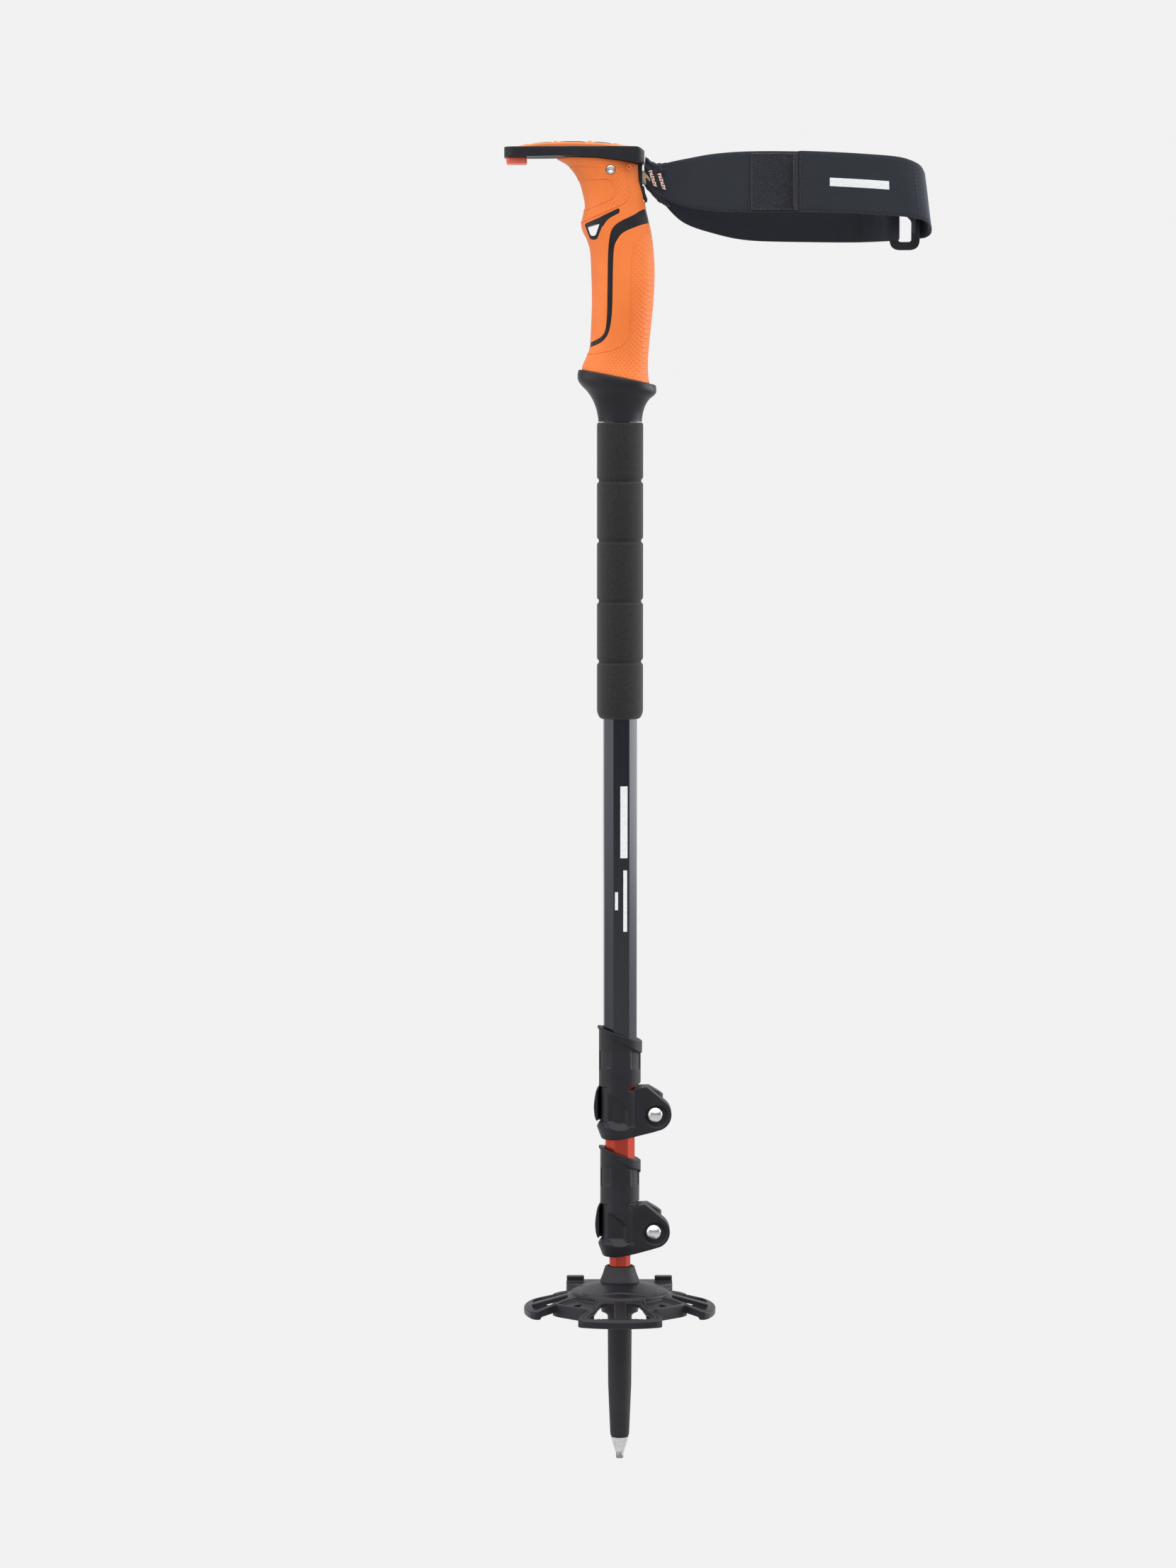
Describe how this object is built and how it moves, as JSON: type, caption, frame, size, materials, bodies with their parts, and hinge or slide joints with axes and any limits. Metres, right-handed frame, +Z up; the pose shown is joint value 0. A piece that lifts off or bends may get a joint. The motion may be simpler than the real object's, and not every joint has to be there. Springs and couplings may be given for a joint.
{
  "type": "telescoping ski touring pole",
  "caption": "Telescoping touring pole with scraper-headed grip, foam sleeve, cam locks, wrist strap and snow basket, shown collapsed.",
  "frame": {"origin": "middle of the hand grip, on the tubes' axis, where a hand holds the pole", "axes": "+Z up along the pole towards the head, -X the way the scraper beak points, +X the way the strap leaves"},
  "size_m": [0.2251, 0.102, 0.699],
  "materials": {
    "black_plastic": "satin moulded nylon, fine spark texture",
    "orange_rubber": "soft matte overmoulded rubber",
    "red_rubber": "soft matte rubber",
    "foam": "matte closed-cell foam",
    "black_anodised": "gloss black anodised",
    "red_anodised": "satin red anodised",
    "steel": "polished stainless steel",
    "carbide": "ground sintered carbide",
    "webbing": "woven twill webbing",
    "hook_and_loop": "brushed loop pile",
    "tan_tape": "ribbed woven tape"
  },
  "bodies": {
    "upper_section": {"grip_frame": "black_plastic", "head_pad": "orange_rubber", "grip_rubber_upper": "orange_rubber", "grip_rubber_lower": "orange_rubber", "scraper_insert": "red_rubber", "strap_pin": "steel", "strap_pin_screw": "steel", "strap_wedge": "black_plastic", "grip_flange": "black_plastic", "foam_sleeve": "foam", "strap_tape_loop": "tan_tape", "upper_tube": "black_anodised", "upper_lock_body": "black_plastic", "upper_lock_bolt": "steel", "upper_lock_barrel_nut": "steel", "upper_lock_wear_plate": "steel"},
    "upper_lever": {"upper_lock_lever": "black_plastic"},
    "middle_section": {"middle_tube": "red_anodised", "middle_tube_guide": "black_plastic", "lower_lock_body": "black_plastic", "lower_lock_bolt": "steel", "lower_lock_barrel_nut": "steel", "lower_lock_wear_plate": "steel"},
    "lower_lever": {"lower_lock_lever": "black_plastic"},
    "lower_section": {"lower_tube": "red_anodised", "lower_tube_guide": "black_plastic", "tip_ferrule": "black_plastic", "tip_holder": "steel", "carbide_tip": "carbide"},
    "basket": {"snow_basket": "black_plastic"},
    "strap": {"strap_tape": "tan_tape", "strap_gather": "webbing", "strap_front_webbing": "webbing", "strap_back_webbing": "webbing", "strap_loop_patch": "hook_and_loop", "strap_hook_patch": "hook_and_loop", "strap_ring": "black_plastic"}
  },
  "joints": [
    {"name": "upper_lever_swing", "type": "hinge", "parent": "upper_section", "child": "upper_lever", "pos_m": [0.0187, 0.0096, -0.4353], "axis": [0, 0, -1], "range_deg": [0, 150]},
    {"name": "middle_slide", "type": "slide", "parent": "upper_section", "child": "middle_section", "axis": [0, 0, -1], "range_m": [0, 0.34]},
    {"name": "lower_lever_swing", "type": "hinge", "parent": "middle_section", "child": "lower_lever", "pos_m": [0.0179, 0.0096, -0.498], "axis": [0, 0, -1], "range_deg": [0, 150]},
    {"name": "lower_slide", "type": "slide", "parent": "middle_section", "child": "lower_section", "axis": [0, 0, -1], "range_m": [0, 0.36]},
    {"name": "basket_turn", "type": "hinge", "parent": "lower_section", "child": "basket", "pos_m": [0, 0, -0.539], "axis": [0, 0, 1], "continuous": true},
    {"name": "strap_swing", "type": "hinge", "parent": "upper_section", "child": "strap", "pos_m": [0.015, 0, 0.055], "axis": [0, 1, 0], "range_deg": [-5, 32]}
  ]
}
